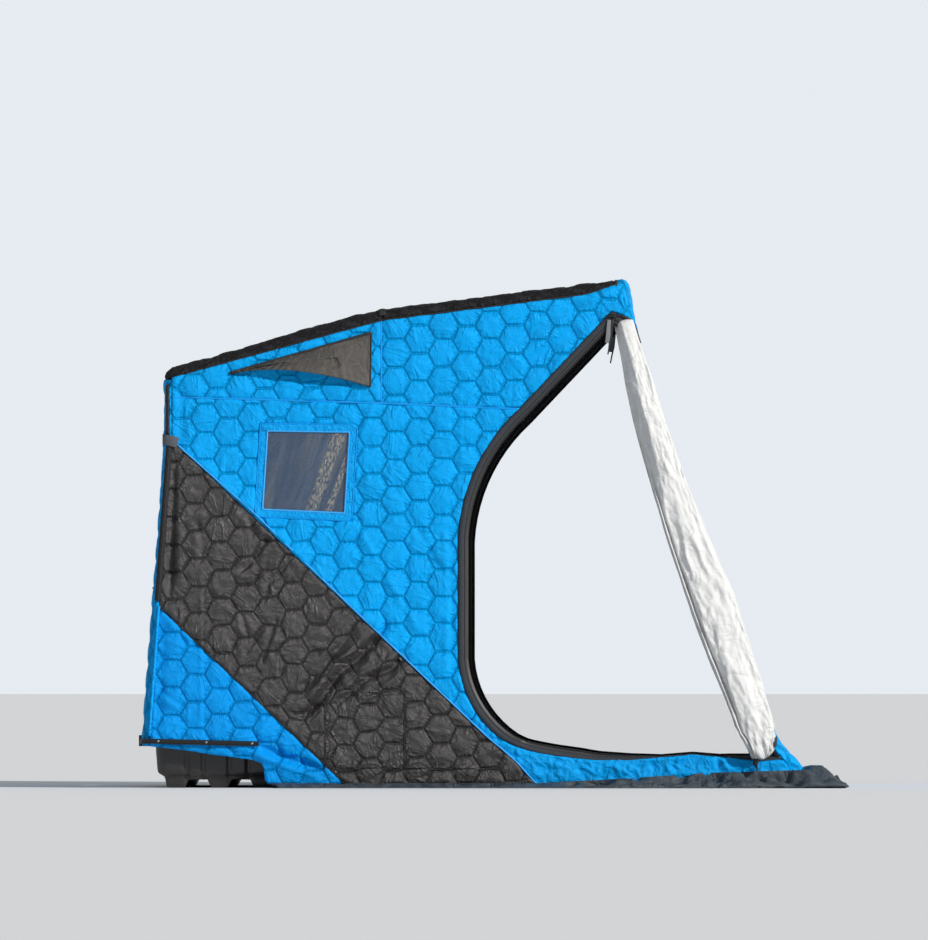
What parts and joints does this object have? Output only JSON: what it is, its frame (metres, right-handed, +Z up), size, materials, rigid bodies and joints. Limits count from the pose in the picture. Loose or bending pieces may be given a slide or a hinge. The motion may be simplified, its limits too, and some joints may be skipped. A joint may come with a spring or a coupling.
{
  "type": "ice fishing hut",
  "caption": "Flip-over ice fishing hut: a quilted fabric shell stretched over tube hoops on a black sled, with open side doors rolled up along the sloping front.",
  "frame": {"origin": "middle of the ground outline, on the ice", "axes": "+X towards the sloping front wall, +Y towards the left side door, +Z up; the sled is at the rear"},
  "size_m": [2.856, 2.01, 2.0334],
  "materials": {
    "blue_quilt": "matte quilted cloth",
    "black_quilt": "matte quilted cloth",
    "grey_trim": "matte woven cloth",
    "white_lining": "satin coated cloth",
    "clear_vinyl": "glossy smoky vinyl",
    "vent_mesh": "fine net",
    "sled_plastic": "moulded polyethylene",
    "rail_metal": "black powder coat",
    "bracket_steel": "black powder coat",
    "hoop_tube": "zinc-plated tube"
  },
  "bodies": {
    "root": {"base_hoop": "hoop_tube", "front_hoop": "hoop_tube", "front_lower_panel": "blue_quilt", "front_middle_panel": "blue_quilt", "front_skirt": "black_quilt", "front_upper_panel": "blue_quilt", "front_windows": "clear_vinyl", "hinge_brackets": "bracket_steel", "left_band_panel": "black_quilt", "left_door_roll": "white_lining", "left_door_trim": "grey_trim", "left_main_panel": "blue_quilt", "left_rail": "rail_metal", "left_rear_corner_panel": "blue_quilt", "left_sill_panel": "blue_quilt", "left_skirt": "black_quilt", "left_upper_front_panel": "blue_quilt", "left_upper_rear_panel": "blue_quilt", "left_vent_hood": "black_quilt", "left_window": "clear_vinyl", "middle_hoop": "hoop_tube", "rear_hoop": "hoop_tube", "rear_lower_panel": "blue_quilt", "rear_rail": "rail_metal", "rear_upper_panel": "blue_quilt", "right_band_panel": "black_quilt", "right_door_roll": "white_lining", "right_door_trim": "grey_trim", "right_main_panel": "blue_quilt", "right_rail": "rail_metal", "right_rear_corner_panel": "blue_quilt", "right_sill_panel": "blue_quilt", "right_skirt": "black_quilt", "right_upper_front_panel": "blue_quilt", "right_upper_rear_panel": "blue_quilt", "right_vent_hood": "black_quilt", "right_window": "clear_vinyl", "roof_front_panel": "black_quilt", "roof_rear_panel": "black_quilt", "sled": "sled_plastic", "vent_meshes": "vent_mesh"}
  },
  "joints": []
}
